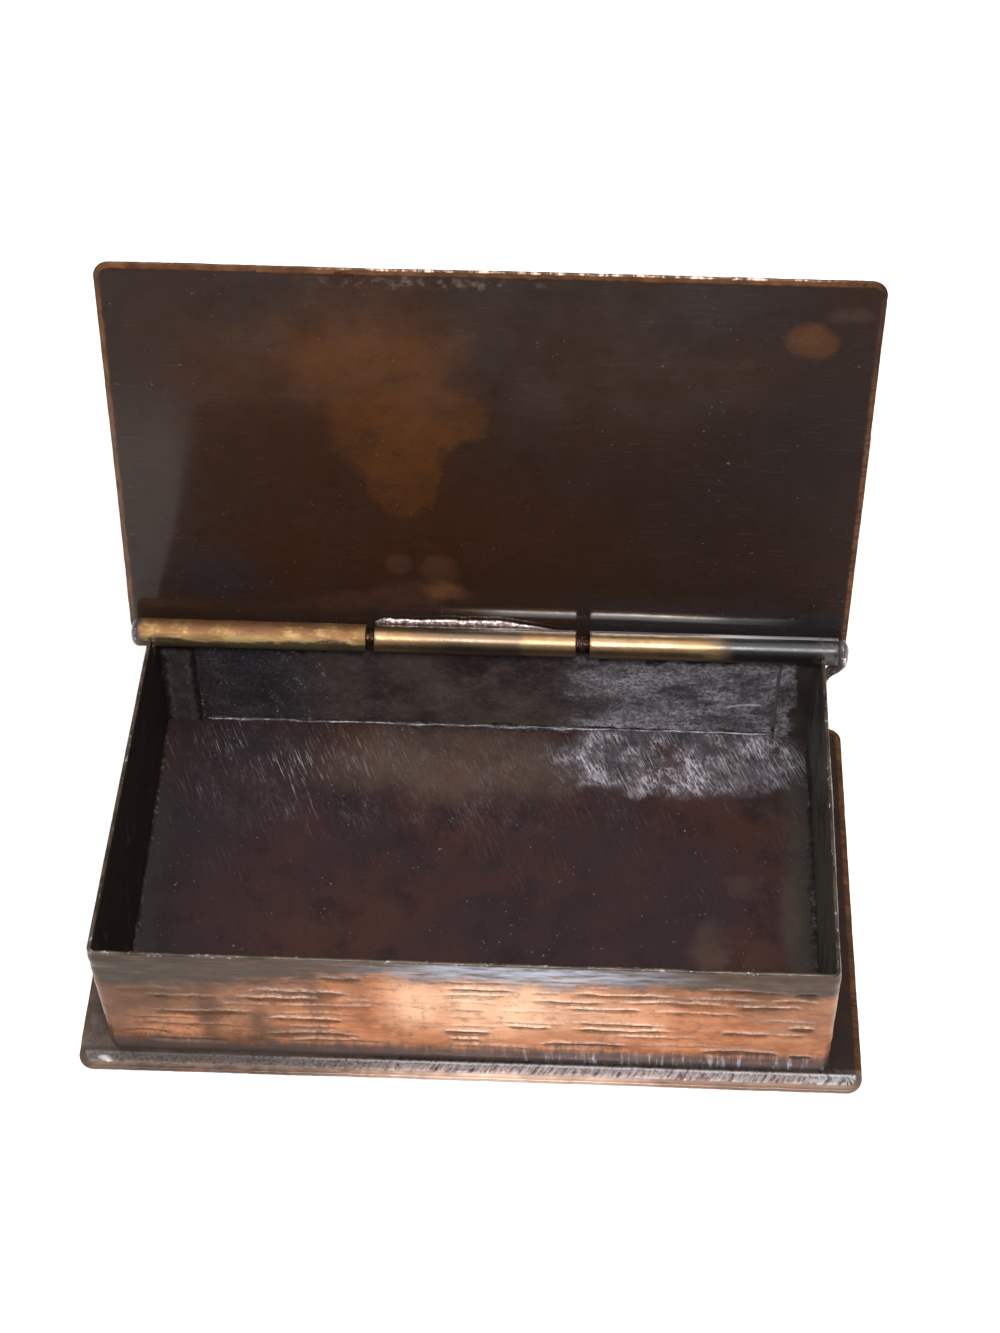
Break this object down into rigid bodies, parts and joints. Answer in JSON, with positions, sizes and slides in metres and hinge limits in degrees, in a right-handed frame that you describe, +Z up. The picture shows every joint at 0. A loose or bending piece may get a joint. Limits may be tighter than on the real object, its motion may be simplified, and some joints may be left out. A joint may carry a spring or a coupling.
{
  "type": "trinket box",
  "caption": "Book-shaped copper trinket box: a shallow tray with a page-edged wall and an overhanging lid on a tube hinge, standing open.",
  "frame": {"origin": "middle of the base plate's underside", "axes": "+Z up, +X along the spine and hinge, +Y towards the spine"},
  "size_m": [0.152, 0.103, 0.117],
  "materials": {
    "tray_copper": "dark patinated copper",
    "page_copper": "chased copper",
    "lid_copper": "dark patinated copper",
    "brass_tube": "tarnished brass",
    "pin_wire": "dark wire",
    "solder": "soft solder"
  },
  "bodies": {
    "tray": {"base_plate": "tray_copper", "spine_wall": "tray_copper", "page_wall": "page_copper", "hinge_knuckle_left": "brass_tube", "hinge_knuckle_right": "brass_tube", "hinge_pin": "pin_wire", "hinge_cap_left": "solder", "hinge_cap_right": "solder", "solder_floor_fore_edge": "solder", "solder_floor_spine": "solder", "solder_floor_left": "solder", "solder_floor_right": "solder", "solder_tab_left": "solder", "solder_tab_right": "solder", "solder_spine_left": "solder", "solder_spine_right": "solder"},
    "lid": {"lid_plate": "lid_copper", "hinge_knuckle_centre": "brass_tube", "solder_lid": "solder"}
  },
  "joints": [
    {"name": "lid_hinge", "type": "hinge", "parent": "tray", "child": "lid", "pos_m": [0, 0.0419, 0.0302], "axis": [-1, 0, 0], "range_deg": [-97, 0]}
  ]
}
